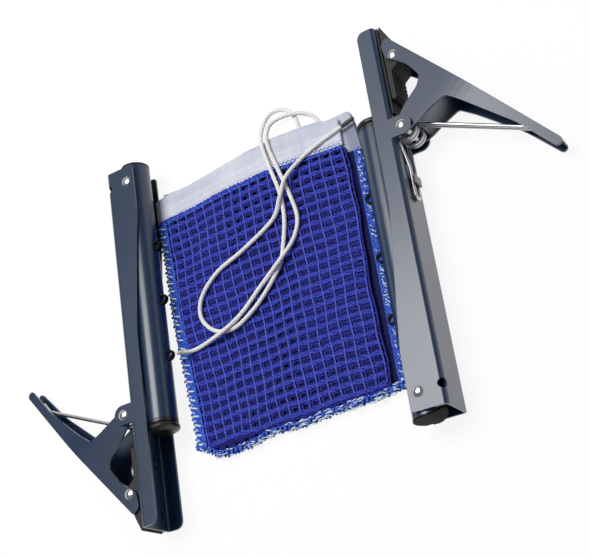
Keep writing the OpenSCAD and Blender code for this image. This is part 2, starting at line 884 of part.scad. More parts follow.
for (side = SIDES) for (piece = PIECES)
    on_side(side) clamp_piece(piece);

on_floor() net_lower();
on_floor() net_upper();
on_floor() net_mesh();
on_floor() tape_back();
on_floor() tape_left();
on_floor() tape_right();
on_floor() cord_long();
on_floor() cord_short();
on_floor() cord_tip();
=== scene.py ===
import bpy
import numpy as np
from mathutils import Matrix


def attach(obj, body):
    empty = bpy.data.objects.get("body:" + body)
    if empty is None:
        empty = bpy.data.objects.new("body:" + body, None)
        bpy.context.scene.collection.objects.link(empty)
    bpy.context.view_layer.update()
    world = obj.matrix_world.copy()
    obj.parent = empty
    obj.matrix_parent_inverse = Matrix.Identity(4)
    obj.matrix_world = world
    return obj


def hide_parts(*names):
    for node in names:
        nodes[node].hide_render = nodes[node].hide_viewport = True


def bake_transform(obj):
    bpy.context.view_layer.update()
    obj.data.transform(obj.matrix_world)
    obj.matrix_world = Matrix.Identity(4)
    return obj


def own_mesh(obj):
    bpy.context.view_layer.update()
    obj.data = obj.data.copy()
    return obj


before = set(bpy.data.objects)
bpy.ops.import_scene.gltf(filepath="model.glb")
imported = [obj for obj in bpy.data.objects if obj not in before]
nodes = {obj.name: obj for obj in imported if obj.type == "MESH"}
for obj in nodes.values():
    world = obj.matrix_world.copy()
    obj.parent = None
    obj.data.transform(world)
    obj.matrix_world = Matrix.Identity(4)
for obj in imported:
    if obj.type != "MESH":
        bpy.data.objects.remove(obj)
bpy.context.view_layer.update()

# ---------------------------------------------------------------- camera
# A long lens, held above the right-hand near corner of the set and tilted
# down across it, so that both units and the net between them fill the frame.


def placed(name, data, place, aim, top, roll=0.0):
    """A camera or lamp at place that looks at aim, its top toward the direction top, then rolled.

    Its back is b = (place - aim) / |place - aim|, and its right hand is r = top x b made one long.
    A roll of a turns the right hand to r cos a + (b x r) sin a."""
    made = bpy.data.objects.new(name, data)
    bpy.context.scene.collection.objects.link(made)
    back = np.subtract(place, aim) / np.linalg.norm(np.subtract(place, aim))
    right = np.cross(top, back)
    right /= np.linalg.norm(right)
    right = right * np.cos(roll) + np.cross(back, right) * np.sin(roll)
    turn = np.stack([right, np.cross(back, right), back], axis=1)
    made.matrix_world = Matrix.Translation(place) @ Matrix(turn.tolist()).to_4x4()
    return made


camera_place = (0.241927, -0.232804, 0.46648)
camera_aim = (0.0081, 0.00188, 0)
camera_roll = np.radians(-60.334)
lens = bpy.data.cameras.new("camera")
lens.sensor_fit = "HORIZONTAL"
lens.sensor_width = 36
lens.lens = 70.52
lens.clip_start, lens.clip_end = 0.02, 60
camera = placed("camera", lens, camera_place, camera_aim, (0, 0, 1), camera_roll)
bpy.context.scene.camera = camera

# ---------------------------------------------------------------- cords
# Braided white polyester cord that ties the net down. One end goes to the last hook of
# the left post, the other is free and ends in a dark ferrule; both go in under the tape.

# The left unit's web at its post pivot, seen from the middle of the set, in millimetres
left_foot = np.array([-82.817898, 81.42631, 0])


def on_floor(points):
    """Points measured from the left unit's foot, in millimetres, moved to where they lie in the set."""
    return np.asarray(points, float) + left_foot


def xyz(x, y, z):
    """Points from three coordinates, each stretched to the shape of the largest."""
    return np.stack(np.broadcast_arrays(x, y, z), axis=-1)


def route(points, spacing):
    """A smooth line through the points, walked in equal steps.

    Between b and c, with neighbours a and d, the line is half of
    2b + (c - a)t + (2a - 5b + 4c - d)t^2 + (3b - a - 3c + d)t^3."""
    p = np.asarray(points, float)
    a, b, c, d = p[np.r_[0, 0:len(p) - 2]], p[:-1], p[1:], p[np.r_[2:len(p), len(p) - 1]]
    t = np.linspace(0, 1, 25)[:-1, None, None]
    line = 0.5 * (2 * b + (c - a) * t + (2 * a - 5 * b + 4 * c - d) * t**2 + (3 * b - a - 3 * c + d) * t**3)
    line = np.concatenate([line.swapaxes(0, 1).reshape(-1, 3), p[-1:]])
    gone = np.r_[0, np.cumsum(np.linalg.norm(np.diff(line, axis=0), axis=1))]
    steps = np.linspace(0, gone[-1], max(int(gone[-1] / spacing), 3) + 1)
    return np.stack([np.interp(steps, gone, line[:, k]) for k in range(3)], axis=1)


def tube(path, radius, sides, up=(0.0, 0.0, 1.0), flat=1.0):
    """Rings round a path: p + r (b cos a + flat n sin a).

    n is the up direction less its share along the path, and b is square to both. radius is one
    number, or one for each ring and side; flat squeezes the ring along n."""
    ahead = np.gradient(path, axis=-2)
    ahead /= np.linalg.norm(ahead, axis=-1, keepdims=True)
    n = np.asarray(up) - (ahead * up).sum(-1, keepdims=True) * ahead
    n /= np.linalg.norm(n, axis=-1, keepdims=True)
    b = np.cross(n, ahead)
    a = 2 * np.pi * np.arange(sides) / sides
    spoke = b[..., None, :] * np.cos(a)[:, None] + flat * n[..., None, :] * np.sin(a)[:, None]
    return path[..., None, :] + spoke * np.broadcast_to(radius, path.shape[:-1] + (sides,))[..., None]


def ends(count, spacing, radius):
    """Share of the radius along a line with two round ends.

    It is the square root of 1 - (1 - s/r)^2 over the first and the last r of the line, and 1 between. s/r
    is at least 0.02, so that no ring shrinks to a point."""
    s = spacing * np.minimum(np.arange(count), np.arange(count)[::-1]) / radius
    return np.sqrt(np.clip(1 - (1 - np.clip(s, 0.02, 1)) ** 2, 0, 1))


def skin(name, grid, material, closed=True, capped=True, marks=None):
    """A mesh over grid[strip, row, column], points in millimetres: one quad for each cell.

    closed joins the last column to the first, capped shuts each strip's two ends. U goes once across the
    columns, and V is the length along the rows in millimetres. marks is one number a point, kept under
    the name "mark"."""
    grid = np.asarray(grid, float)
    grid = grid[None] if grid.ndim == 3 else grid
    strips, rows, columns = grid.shape[:3]
    index = np.arange(strips * rows * columns).reshape(strips, rows, columns)
    across = columns if closed else columns - 1
    r, c = np.meshgrid(np.arange(rows - 1), np.arange(across), indexing="ij")
    beside = (c + 1) % columns
    quads = [index[:, r, c], index[:, r, beside], index[:, r + 1, beside], index[:, r + 1, c]]
    faces = np.stack(quads, axis=-1).reshape(-1, 4).tolist()
    gaps = np.linalg.norm(np.diff(grid.mean(axis=2), axis=1), axis=2)
    v = np.concatenate([np.zeros((strips, 1)), np.cumsum(gaps, axis=1)], axis=1)
    corner_u = np.stack([c, c + 1, c + 1, c], axis=-1) / across
    corner_v = np.stack([v[:, r], v[:, r], v[:, r + 1], v[:, r + 1]], axis=-1)
    uv = np.stack([np.broadcast_to(corner_u, corner_v.shape), corner_v], axis=-1).reshape(-1, 2)
    if closed and capped:
        faces += index[:, 0, ::-1].tolist() + index[:, -1].tolist()
        uv = np.concatenate([uv, np.zeros((2 * strips * columns, 2))])
    mesh = bpy.data.meshes.new(name)
    mesh.from_pydata((grid.reshape(-1, 3) / 1000).tolist(), [], faces)
    mesh.uv_layers.new(name="lay").data.foreach_set("uv", uv.astype(np.float32).ravel())
    if marks is not None:
        mark = mesh.attributes.new("mark", "FLOAT", "POINT")
        mark.data.foreach_set("value", np.ravel(marks).astype(np.float32))
    mesh.polygons.foreach_set("use_smooth", np.ones(len(mesh.polygons), bool))
    mesh.materials.append(material)
    piece = bpy.data.objects.new(name, mesh)
    bpy.context.scene.collection.objects.link(piece)
    return piece


class Wire:
    """A socket of a material's nodes. Sums on it add Math nodes; add() makes any other node."""

    def __init__(self, tree, socket=None):
        self.tree, self.socket = tree, socket

    def add(self, kind, settings=None, sockets=None, out=0):
        """A node of that type: its settings first, then a value or a wire for each named socket."""
        node = self.tree.nodes.new(kind)
        for name, value in (settings or {}).items():
            setattr(node, name, value)
        for name, value in (sockets or {}).items():
            if isinstance(value, Wire):
                self.tree.links.new(value.socket, node.inputs[name])
            else:
                node.inputs[name].default_value = value
        return Wire(self.tree, node.outputs[out] if len(node.outputs) else None)

    def sum(self, operation, *values):
        """A Math node with that operation on the values or wires."""
        return self.add("ShaderNodeMath", {"operation": operation}, dict(enumerate(values)))

    def __add__(self, other):
        return self.sum("ADD", self, other)

    def __mul__(self, other):
        return self.sum("MULTIPLY", self, other)

    def __sub__(self, other):
        return self.sum("SUBTRACT", self, other)

    def __rsub__(self, other):
        return self.sum("SUBTRACT", other, self)

    def __truediv__(self, other):
        return self.sum("DIVIDE", self, other)

    __radd__, __rmul__ = __add__, __mul__


def colour(red, green, blue):
    """A colour as a screen shows it, 0 to 255, made the light it stands for: ((c + 0.055) / 1.055)^2.4."""
    c = np.array([red, green, blue]) / 255
    return (*np.where(c > 0.04045, ((c + 0.055) / 1.055) ** 2.4, c / 12.92).tolist(), 1.0)


def new_finish(name):
    """An empty material and the wire that its nodes start from."""
    finish = bpy.data.materials.new(name)
    finish.use_nodes = True
    finish.node_tree.nodes.clear()
    return finish, Wire(finish.node_tree)


def between(mask, first, second):
    """The first colour where the mask is 0, the second where it is 1."""
    return mask.add("ShaderNodeMix", {"data_type": "RGBA"}, {0: mask, 6: first, 7: second}, out=2)


def places(start):
    """A wire with each point's place in the set, in metres."""
    return start.add("ShaderNodeTexCoord", out="Object")


def noise(place, scale, detail=2.0):
    """Soft random blotches, 0 to 1, about one in 1/scale metres."""
    return place.add("ShaderNodeTexNoise", None, {"Vector": place, "Scale": scale, "Detail": detail})


def relief(height, strength, depth, under=None):
    """Bumps where that wire is high. under is the surface that they stand on, if its edges are rounded."""
    sockets = {"Strength": strength, "Distance": depth, "Height": height}
    if under is not None:
        sockets["Normal"] = under
    return height.add("ShaderNodeBump", None, sockets)


def surface(start, sockets):
    """Closes a material with one Principled shader, which has those values and wires."""
    shader = start.add("ShaderNodeBsdfPrincipled", None, sockets)
    start.add("ShaderNodeOutputMaterial", None, {"Surface": shader})


cord_finish, w = new_finish("cord_braid")
# The mark paints shade into the braid: darker in the crevices between strands, lighter on their tops
lay = w.add("ShaderNodeAttribute", {"attribute_name": "mark"}, out="Fac")
fibre = noise(places(w), 1800, 3)
yarn = between(lay, colour(222, 220, 215), colour(253, 252, 250))
surface(w, {
    "Base Color": between(fibre * 0.2, yarn, colour(234, 232, 227)),
    "Roughness": 0.85, "Sheen Weight": 0.15, "Normal": relief(fibre, 0.5, 0.0001)})

cord_r, cord_step, cord_sides = 1.1, 0.3, 20
# Length of one repeat of the braid, the cord's radius as a base share and a share that a strand adds,
# and the least value of a strand, a little under the square root of a half
braid_pitch, base_share, strand_share, strand_low = 2.7, 0.84, 0.18, 0.7
# Height of the cord's middle on the net, and where it lies over itself
on_net, over_cord = 6.25, 9.11


def braid(name, points):
    """Eight strands, four each way: the radius grows with the larger of |cos(2a + ks)|, |cos(2a - ks)|."""
    path = on_floor(route(points, cord_step))
    s = cord_step * np.arange(len(path))[:, None]
    a = 2 * np.pi * np.arange(cord_sides) / cord_sides
    k = np.pi / braid_pitch
    strand = np.maximum(np.abs(np.cos(2 * a + k * s)), np.abs(np.cos(2 * a - k * s)))
    radius = cord_r * (base_share + strand_share * strand) * ends(len(path), cord_step, cord_r)[:, None]
    # The mark runs from 0 in the crevices between strands to 1 on their tops, for the finish's painted shade
    marks = (strand - strand_low) / (1 - strand_low)
    return skin(name, tube(path, radius, cord_sides), cord_finish, marks=marks), path


long_cord, long_path = braid("cord_long_braid", [
    [134.5, -12.5, on_net], [121, -16, on_net], [110, -20, on_net], [100, -28.5, over_cord],
    [94.5, -38.5, over_cord], [87, -47, on_net], [68, -56.5, on_net], [51, -63, on_net],
    [40, -73, on_net], [38, -84, on_net], [45, -93.5, on_net], [56, -96, on_net],
    [68, -90.5, on_net], [78.5, -82, on_net], [87.5, -71.5, on_net], [91.5, -60, on_net],
    [94, -47, on_net], [93.5, -33, on_net], [90, -16, on_net], [87.5, -1, 5.6],
    [88.5, 10, 2.4], [93.5, 16, 1.2], [101, 15, 1.2], [107, 8, 1.2], [108.5, -3, 1.2]])
short_cord, short_path = braid("cord_short_braid", [
    [25, -100.8, 13.8], [32, -99.6, on_net], [50, -97, over_cord], [61, -90, on_net],
    [74, -80, on_net], [88, -72, over_cord], [96.5, -62, on_net], [101, -52, on_net],
    [99.5, -39, on_net], [94.5, -19, on_net], [91.5, -6, on_net], [91.8, 2, on_net],
    [95.5, 8.5, 4.2], [107, 8.5, 3.7], [117, 4, 1.5], [122.4, -7, 1.2]])

# Ferrule: dark shrunk sleeve, 7 mm long, with two crimps
ferrule_finish, w = new_finish("cord_ferrule")
grain = noise(places(w), 900)
surface(w, {
    "Base Color": between(grain, colour(48, 45, 42), colour(74, 70, 66)),
    "Roughness": 0.3 + 0.2 * grain})
sleeve_r, sleeve_rings, sleeve_step, sleeve_round = 1.13, 60, 0.144, 0.9
crimp_places, crimp_depth, crimp_width = (0.3, 0.7), 0.13, 0.05
onward = (long_path[0] - long_path[6]) / np.linalg.norm(long_path[0] - long_path[6])
sleeve_path = long_path[0] + onward * np.linspace(-1.5, 7, sleeve_rings)[:, None]
along = np.linspace(0, 1, sleeve_rings)
crimps = 1 - sum(crimp_depth * np.exp(-((along - place) / crimp_width) ** 2) for place in crimp_places)
sleeve_size = (sleeve_r * crimps * ends(sleeve_rings, sleeve_step, sleeve_round))[:, None]
ferrule = skin("cord_ferrule", tube(sleeve_path, sleeve_size, cord_sides), ferrule_finish)

for piece, node in ((long_cord, "cord_long"), (short_cord, "cord_short"), (ferrule, "cord_tip")):
    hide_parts(node)
    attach(piece, "set")
    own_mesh(piece)

# ---------------------------------------------------------------- painted steel
# The channel arms, the post tubes and the levers are folded or drawn steel,
# with a thick glossy slate-blue paint that flows a little at the edges.


def soft_edge(start, radius, samples=4):
    """The surface as light sees it with its edges rounded to that radius, in metres."""
    return start.add("ShaderNodeBevel", {"samples": samples}, {"Radius": radius})


def give(finish, *parts):
    """Puts the finish on those parts of both units."""
    for side in ("left", "right"):
        for part in parts:
            for slot in nodes[f"{side}_{part}"].material_slots:
                slot.material = finish


paint, w = new_finish("slate_paint")
broad, flow = noise(places(w), 30), noise(places(w), 300, 1)
surface(w, {
    "Base Color": between(broad, colour(10, 37, 66), colour(20, 48, 79)),
    "Roughness": 0.29 + 0.06 * broad, "IOR": 1.5,
    "Coat Weight": 0.45, "Coat Roughness": 0.2, "Coat IOR": 1.5,
    "Normal": relief(flow, 0.1, 0.0002, soft_edge(w, 0.00035, 6))})
give(paint, "arm", "post_tube", "lever")

# ---------------------------------------------------------------- rivets
# Three steel rivets a unit, bright with zinc, on which the post, the lever and the jaw
# turn. Their heads are closed in a press, and the plating is a little cloudy.

zinc, w = new_finish("zinc_rivet")
cloud = noise(places(w), 700)
surface(w, {
    "Base Color": between(cloud, colour(176, 177, 180), colour(216, 216, 218)),
    "Metallic": 1.0, "Roughness": 0.13 + 0.1 * cloud,
    "Normal": relief(cloud, 0.1, 0.0001, soft_edge(w, 0.0002))})
give(zinc, "post_pin", "lever_pin", "jaw_pin")

# ---------------------------------------------------------------- black mouldings
# End caps, plugs, net hooks and spacers are moulded in black nylon; the jaw pads and
# the strip that faces them are matt black rubber with a fine mould grain.

nylon, w = new_finish("black_nylon")
grain, scuff = noise(places(w), 1500, 3), noise(places(w), 60)
surface(w, {
    "Base Color": between(scuff, colour(12, 12, 13), colour(22, 22, 24)),
    "Roughness": 0.26 + 0.14 * scuff, "Normal": relief(grain, 0.2, 0.0001, soft_edge(w, 0.0004))})
give(nylon, "post_cap")

matt_nylon, w = new_finish("matt_black_nylon")
grain = noise(places(w), 1500, 3)
surface(w, {
    "Base Color": between(grain, colour(9, 9, 10), colour(22, 22, 24)),
    "Roughness": 0.6 + 0.2 * grain, "Specular IOR Level": 0.15})
give(matt_nylon, "post_plug", "post_hooks", "post_spacer")

rubber, w = new_finish("black_rubber")
grain, dust = noise(places(w), 1800, 4), noise(places(w), 90)
surface(w, {
    "Base Color": between(dust, colour(28, 28, 30), colour(48, 48, 51)),
    "Roughness": 0.6 + 0.2 * grain, "Normal": relief(grain, 0.45, 0.0001, soft_edge(w, 0.0003))})
give(rubber, "jaw_pad", "grip_strip")

# ---------------------------------------------------------------- springs
# Double torsion springs of 1.8 mm plated wire: two coils round the lever pin, two legs
# under the lever's spine and one loop held on the arm's web by a pressed tab.

# The drawing die leaves fine lines that run along the wire
wire_finish, w = new_finish("spring_wire")
lines = w.add("ShaderNodeMapping", None, {
    "Vector": w.add("ShaderNodeTexCoord", out="UV"), "Scale": (60, 0.4, 1)})
drawn = noise(lines, 1.0)
surface(w, {
    "Base Color": between(drawn, colour(168, 170, 174), colour(214, 215, 218)),
    "Metallic": 1.0, "Roughness": 0.22 + 0.16 * drawn, "Normal": relief(drawn, 0.15, 0.0001)})

# Where the right unit's foot lies from the left one's, its turn, and the unit's height off the floor
right_foot = left_foot + (164, -162.8, 0)
right_turn, unit_lift = np.radians(89), 0.8
# The lever pin and the middle of the width, in a unit's own frame, then the lever's spine and sheet
pin_x, pin_y, middle_z = 127.0, -4.2, 11.2
spine, spine_off, sheet_thick = np.radians(39.5), 32.4, 1.2
# The wire and its coils, and half the gap between its two legs and between the loop's two sides
wire_r, coil_r, coil_pitch, coil_turns, leg_half, loop_half = 0.9, 4.9, 2.25, 2, 1.15, 2.4
# How far a leg and its hooked end reach along the spine, the start of the loop, and its gap to the web
leg_reach, hook_reach, loop_start, web_gap = 52.2, 8.1, 110, 0.3
# How far both legs lean to one side, and how far a hooked end bends up and on to that side
leg_lean, hook_rise, hook_lean = 0.64, 0.18, 1.15
# The arm loop, from the coils to its round end: places along the web, and what is added to its half width
loop_x = np.array([loop_start, 104, 99, 95.2, 93.6, 93])
loop_more = np.array([0, 0.1, 0, -0.1, -0.5, -1.5])
wire_step, wire_sides = 0.4, 14


def turned(x, y, angle):
    """The place (x, y) turned round the origin: x cos a - y sin a and x sin a + y cos a."""
    return x * np.cos(angle) - y * np.sin(angle), x * np.sin(angle) + y * np.cos(angle)


def on_side(side, points):
    """Points of one unit, in its own frame, put where that unit lies: a turn, then a shift."""
    x, y, z = np.moveaxis(np.asarray(points, float), -1, 0)
    if side == "left":
        return np.stack([y, -x, z + unit_lift], axis=-1) + left_foot
    x, y = turned(x, y, right_turn)
    return np.stack([x, y, z + unit_lift], axis=-1) + right_foot


def spring_half(way):
    """One half of the wire, from the lever leg's hooked end to the middle of the arm loop.

    The coil is (r cos a, r sin a), and its height grows in step with the angle a. A leg touches
    it at the foot's own angle plus the arc cosine of r over the foot's distance."""
    wire_y = -wire_r - web_gap
    span = np.hypot(pin_x - loop_start, wire_y - pin_y)
    tilt = np.arcsin(coil_r / span) - np.arctan((wire_y - pin_y) / (pin_x - loop_start))
    foot_x, foot_y = turned(-leg_reach, sheet_thick + 1.1 * wire_r - spine_off, spine)
    first = np.arctan2(foot_y, foot_x) + np.arccos(coil_r / np.hypot(foot_x, foot_y))
    turn = 2 * np.pi * coil_turns + np.pi / 2 + tilt - first
    out_z = leg_half + coil_pitch * turn / (2 * np.pi)
    share = np.linspace(0, 1, 25)
    a = first + turn * share
    coil = np.stack([pin_x + coil_r * np.cos(a), pin_y + coil_r * np.sin(a),
                     way * (leg_half + (out_z - leg_half) * share)], 1)
    foot = np.array([pin_x + foot_x, pin_y + foot_y, way * leg_half - leg_lean])
    leg = foot + (coil[0] - foot) * np.array([0.02, 0.33, 0.65, 0.93])[:, None]
    hook = foot + (*turned(-hook_reach, hook_rise, spine), -hook_lean)
    loop_z = loop_half + loop_more
    loop_z[0] = loop_half + 0.2 * (out_z - loop_half)
    loop = xyz(loop_x, wire_y, way * loop_z)
    return np.concatenate([[hook], [foot + (hook - foot) * 0.1], leg, coil, loop]) + (0, 0, middle_z)


wire_path = route(np.concatenate([spring_half(1), spring_half(-1)[::-1]]), wire_step)
# The rings' up direction is the width, and turns square to the web over the arm loop
near_loop = np.clip((108 - wire_path[:, :1]) / 6, 0, 1) * (wire_path[:, 1:2] > -8)
wire_up = np.concatenate([0 * near_loop, near_loop, 1 - near_loop], axis=1)
wire_up /= np.linalg.norm(wire_up, axis=1, keepdims=True)
wire_size = (wire_r * ends(len(wire_path), wire_step, wire_r))[:, None]
for side in ("left", "right"):
    rings = on_side(side, tube(wire_path, wire_size, wire_sides, up=wire_up))
    spring = skin(f"{side}_spring_wire", rings, wire_finish)
    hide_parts(f"{side}_spring")
    start, end = on_side(side, [[118, -2.5, middle_z], [118, -14, middle_z]]) / 1000
    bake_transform(spring)

# ---------------------------------------------------------------- net
# Knitted blue polyester net, 1.83 m long and 152.5 mm deep, folded to and fro in sixteen
# layers. The top layers are made strand by strand; the rest is one sheet with open cells.


def yarn_finish(name, low, high, roughness):
    """Spun yarn: a fine grain mixes the two colours, and lifts the surface where it is lighter."""
    finish, w = new_finish(name)
    grain = noise(places(w), 1300, 4)
    spread = w.add("ShaderNodeMapRange", None, {"Value": grain, "From Min": 0.36, "From Max": 0.64})
    surface(w, {
        "Base Color": between(spread, colour(*low), colour(*high)),
        "Roughness": roughness, "Specular IOR Level": 0.25, "Normal": relief(grain, 0.8, 0.0002)})
    return finish


weft_finish = yarn_finish("net_weft", (33, 38, 130), (70, 82, 204), 0.8)
# The second layer is the same blue yarn made darker: painted shade under the top layer
under_yarn_painted_shade = yarn_finish("net_under_painted_shade", (22, 25, 98), (50, 56, 164), 0.8)
# The ribs are the same yarn made lighter: painted highlight on the strands that lie on top
rib_painted_highlight = yarn_finish("net_rib_painted_highlight", (46, 55, 162), (86, 102, 212), 0.6)
edge_finish = yarn_finish("net_edge_yarn", (36, 66, 180), (82, 128, 234), 0.6)
white_yarn = yarn_finish("white_yarn", (196, 214, 222), (244, 248, 252), 0.5)

hem_x = [10, 16, 30, 43, 57, 66, 87, 95, 107, 120, 132, 142]
hem_y = [-22.2, -22.0, -21.6, -20.8, -19.5, -18.8, -18.6, -18.7, -19.7, -20.7, -21.8, -22.2]


def under_tape(x):
    """The tape's lower edge, which bows a little: straight runs between listed places."""
    return np.interp(x, hem_x, hem_y)


def left_side(v):
    """The net's left edge, by share of the way down: it leans in and is not quite straight."""
    return np.interp(v, [0, 0.2, 0.43, 0.58, 0.73, 1], [17.0, 18.5, 19.4, 21.0, 22.7, 25.4])


# The mesh's gap to the net's left edge, its right edge and how far that leans in, and its foot and how
# far that rises to the right; then by how much the cells widen from left to right
mesh_inset, mesh_right, mesh_lean, mesh_foot, mesh_rise, widening = 1.3, 131.6, 1.2, -149.6, 1.6, 0.08


def net_place(u, v, shift_x=0.0, shift_y=0.0, wave=0.0):
    """Where the strand point (u, v) of a layer lies: u across, v down, both 0 to 1.

    Across it is left + (right - left)((1 - w)u + w u^2), with w the widening, and down it runs straight
    from the tape to the foot. Sine waves of under a millimetre pull the rows and columns about."""
    left, right = left_side(v) + mesh_inset, mesh_right - mesh_lean * v
    x = left + (right - left) * ((1 - widening) * u + widening * u**2) + shift_x
    x = x + 0.6 * np.sin(9 * v + 5 * u + wave) + 0.28 * np.sin(31 * v + 17 * u + wave)
    y = under_tape(x) + (mesh_foot + mesh_rise * u - under_tape(x)) * v + shift_y
    y = y + 0.7 * np.sin(7 * u + 4 * v + 2 * wave) * np.sin(np.pi * v) + 0.3 * np.sin(23 * u + 9 * v + wave)
    return x, y


rib_r, rib_rings, yarn_r, yarn_rings, yarn_flat = 0.48, 110, 0.52, 150, 0.45


def net_layer(name, z, shift_x, shift_y, wave, ribs, weft, yarns, gap, columns=20, rows=25):
    """One layer of strands: some yarns side by side across, and thin ribs down over them.

    The yarns lie one gap apart and close up to 0.7 of that under each rib: gap (0.7 + 0.3 |sin|)."""
    t = np.linspace(0, 1, rib_rings)
    x, y = net_place(np.linspace(0, 1, columns)[:, None], t, shift_x, shift_y, wave)
    down = xyz(x, y, z + 0.12 * np.sin(2 * np.pi * t * (rows - 1)))
    s = np.linspace(0, 1, yarn_rings)
    row = np.arange(rows)[:, None, None]
    yarn = (np.arange(yarns) - (yarns - 1) / 2)[:, None]
    x, y = net_place(s, row / (rows - 1), shift_x, shift_y, wave)
    y = y + gap * yarn * (0.7 + 0.3 * np.abs(np.sin(np.pi * s * (columns - 1))))
    y = y + 0.16 * np.sin(97 * s + 2.3 * row + 1.9 * yarn) + 0.1 * np.sin(173 * s + 4.1 * row + 2.7 * yarn)
    across = xyz(x, y, z - 0.2 + 0.1 * np.sin(131 * s + 1.7 * row + 2.2 * yarn)).reshape(-1, len(s), 3)
    return (skin(name + "_ribs", tube(on_floor(down), rib_r, 8, flat=yarn_flat), ribs),
            skin(name + "_across", tube(on_floor(across), yarn_r, 6, flat=yarn_flat), weft))


front_ribs, front_across = net_layer(
    "net_front", 4.70, 0.0, 0.0, 0.0, rib_painted_highlight, weft_finish, yarns=3, gap=0.74)
second_ribs, second_across = net_layer(
    "net_second", 4.15, 1.3, -1.3, 0.7, under_yarn_painted_shade, under_yarn_painted_shade, yarns=2, gap=0.8)


# The folded sheet under them
def cloth(start):
    """Three wires of the attribute "cell": two places on the flat cloth in millimetres, and a painted shade.
    """
    cell = start.add("ShaderNodeAttribute", {"attribute_name": "cell"}, out="Vector")
    parts = start.add("ShaderNodeSeparateXYZ", None, {"Vector": cell})
    return [Wire(start.tree, part) for part in parts.socket.node.outputs]


# Size of a cell in millimetres, and half of its opening as a share of the cell
cell_width, cell_height, half_open = 6, 5.5, 0.22
sheet_finish, w = new_finish("net_sheet")
u, v, right_fold_shade = cloth(w)
off_u = w.sum("ABSOLUTE", w.sum("FRACT", u / cell_width) - 0.5)
off_v = w.sum("ABSOLUTE", w.sum("FRACT", v / cell_height) - 0.5)
strand = w.sum("GREATER_THAN", w.sum("MAXIMUM", off_u, off_v), half_open)
grain = noise(places(w), 900, 3)
# The sheet is the net's blue yarn made darker, painted shade under the layers above; along the right it is
# painted deeper shade, to a near black blue
sheet_dye_and_shade = between(grain, colour(13, 14, 60), colour(34, 38, 122))
surface(w, {
    "Base Color": between(right_fold_shade * (1 - grain), sheet_dye_and_shade, colour(11, 11, 44)),
    "Roughness": 0.8, "Specular IOR Level": 0.2, "Alpha": strand})

# The net's uneven foot, from left to right
low_x = [24, 32, 35, 41, 50, 58, 63, 70, 82, 100, 123, 132, 139]
low_y = [-150.5, -154.6, -157.0, -158.4, -158.0, -157.2, -155.9, -155.2, -156.2, -155.2, -154.8, -154.2,
         -153.0]
net_length = 1830
layers, fold_rows, fold_columns = 16, 46, 26
# The lower eight layers end further right; the layers rise by one step each from just off the floor
far_right, near_right, far_layers, first_rise, layer_rise = 139.4, 131.8, 8, 0.2, 0.245
rng = np.random.default_rng(5)
k = np.arange(layers)[:, None]
jog_left, jog_right, jog_low = rng.uniform(-1, 1, (3, layers, 1))
t = np.linspace(0, 1, fold_columns)[None]
across = np.where(k % 2 == 0, t, 1 - t)
v = np.linspace(0, 1, fold_rows)[:, None, None]
left = left_side(v) + 0.3 + 0.5 * jog_left + 0.3 * np.sin(11 * v + 2 * k)
right = np.where(k < far_layers, far_right, near_right) - 0.6 * v
right = right + 0.5 * jog_right + 0.4 * np.sin(8 * v + 3 * k)
x = left + (right - left) * across
y_low = np.interp(x, low_x, low_y) + 3.2 + 1.2 * jog_low + 0.6 * np.sin(13 * across + 2 * k)
y_top = np.where(x > 128, -22.5, under_tape(x) - 0.6)
y = y_top + (y_low - y_top) * v
z = first_rise + layer_rise * k + 0.06 * np.sin(9 * across + 6 * v + k) + 0 * v
grid = xyz(x, y, z).reshape(fold_rows, layers * fold_columns, 3)
net_sheet = skin("net_folds", on_floor(grid), sheet_finish, closed=False)
step = (net_length / (layers * fold_columns)) * np.arange(layers * fold_columns)


def cells(piece, values):
    """Keeps each point's two places on the flat cloth and its painted shade, 0 to 1, as the attribute "cell".
    """
    cell = piece.data.attributes.new("cell", "FLOAT_VECTOR", "POINT")
    cell.data.foreach_set("vector", np.asarray(values, np.float32).ravel())


# The upper layers get painted shade along their folds on the right, where they turn back deep in the stack
dark_from, dark_over, dark_above, depth_seen = 129, 3, 6, 131
strip = np.clip((x - dark_from) / dark_over, 0, 1) * (k > dark_above)
depth = np.linspace(0, depth_seen, fold_rows)[:, None]
cells(net_sheet, xyz(step[None], depth, strip.reshape(fold_rows, -1)))


# Selvedges: loops of blue yarn round the layers' edges, caught by white stitches
loop_root = 1.2


def lace(name, edge, pitch, depth, heights, radius=0.32):
    """Yarn loops along an edge: outward by depth (1 - cos a) / 2, and to and fro by 0.4 pitch sin a.

    Outward is to the right of the way along the edge, and the loops start at their root inside it. Each
    height gives one more yarn, at its own phase."""
    edge = np.asarray(edge, float)
    gone = np.r_[0, np.cumsum(np.hypot(*np.diff(edge, axis=0).T))]
    s = np.linspace(0, gone[-1], int(gone[-1] / pitch) * 9)
    line = np.stack([np.interp(s, gone, edge[:, k]) for k in (0, 1)], axis=1)
    way = np.gradient(line, axis=0)
    way /= np.linalg.norm(way, axis=1, keepdims=True)
    out = np.stack([way[:, 1], -way[:, 0]], axis=1)
    n = np.arange(len(heights))[:, None]
    a = 2 * np.pi * s / pitch + 2.1 * n
    side = depth * (0.75 + 0.25 * np.sin(0.59 * a + 2 * n)) * (1 - np.cos(a)) / 2 - loop_root
    xy = line + way * (0.4 * pitch * np.sin(a))[..., None] + out * side[..., None]
    z = np.asarray(heights)[:, None] + 0.25 * np.sin(a + n)
    return skin(name, tube(on_floor(np.concatenate([xy, z[..., None]], axis=-1)), radius, 6), edge_finish)


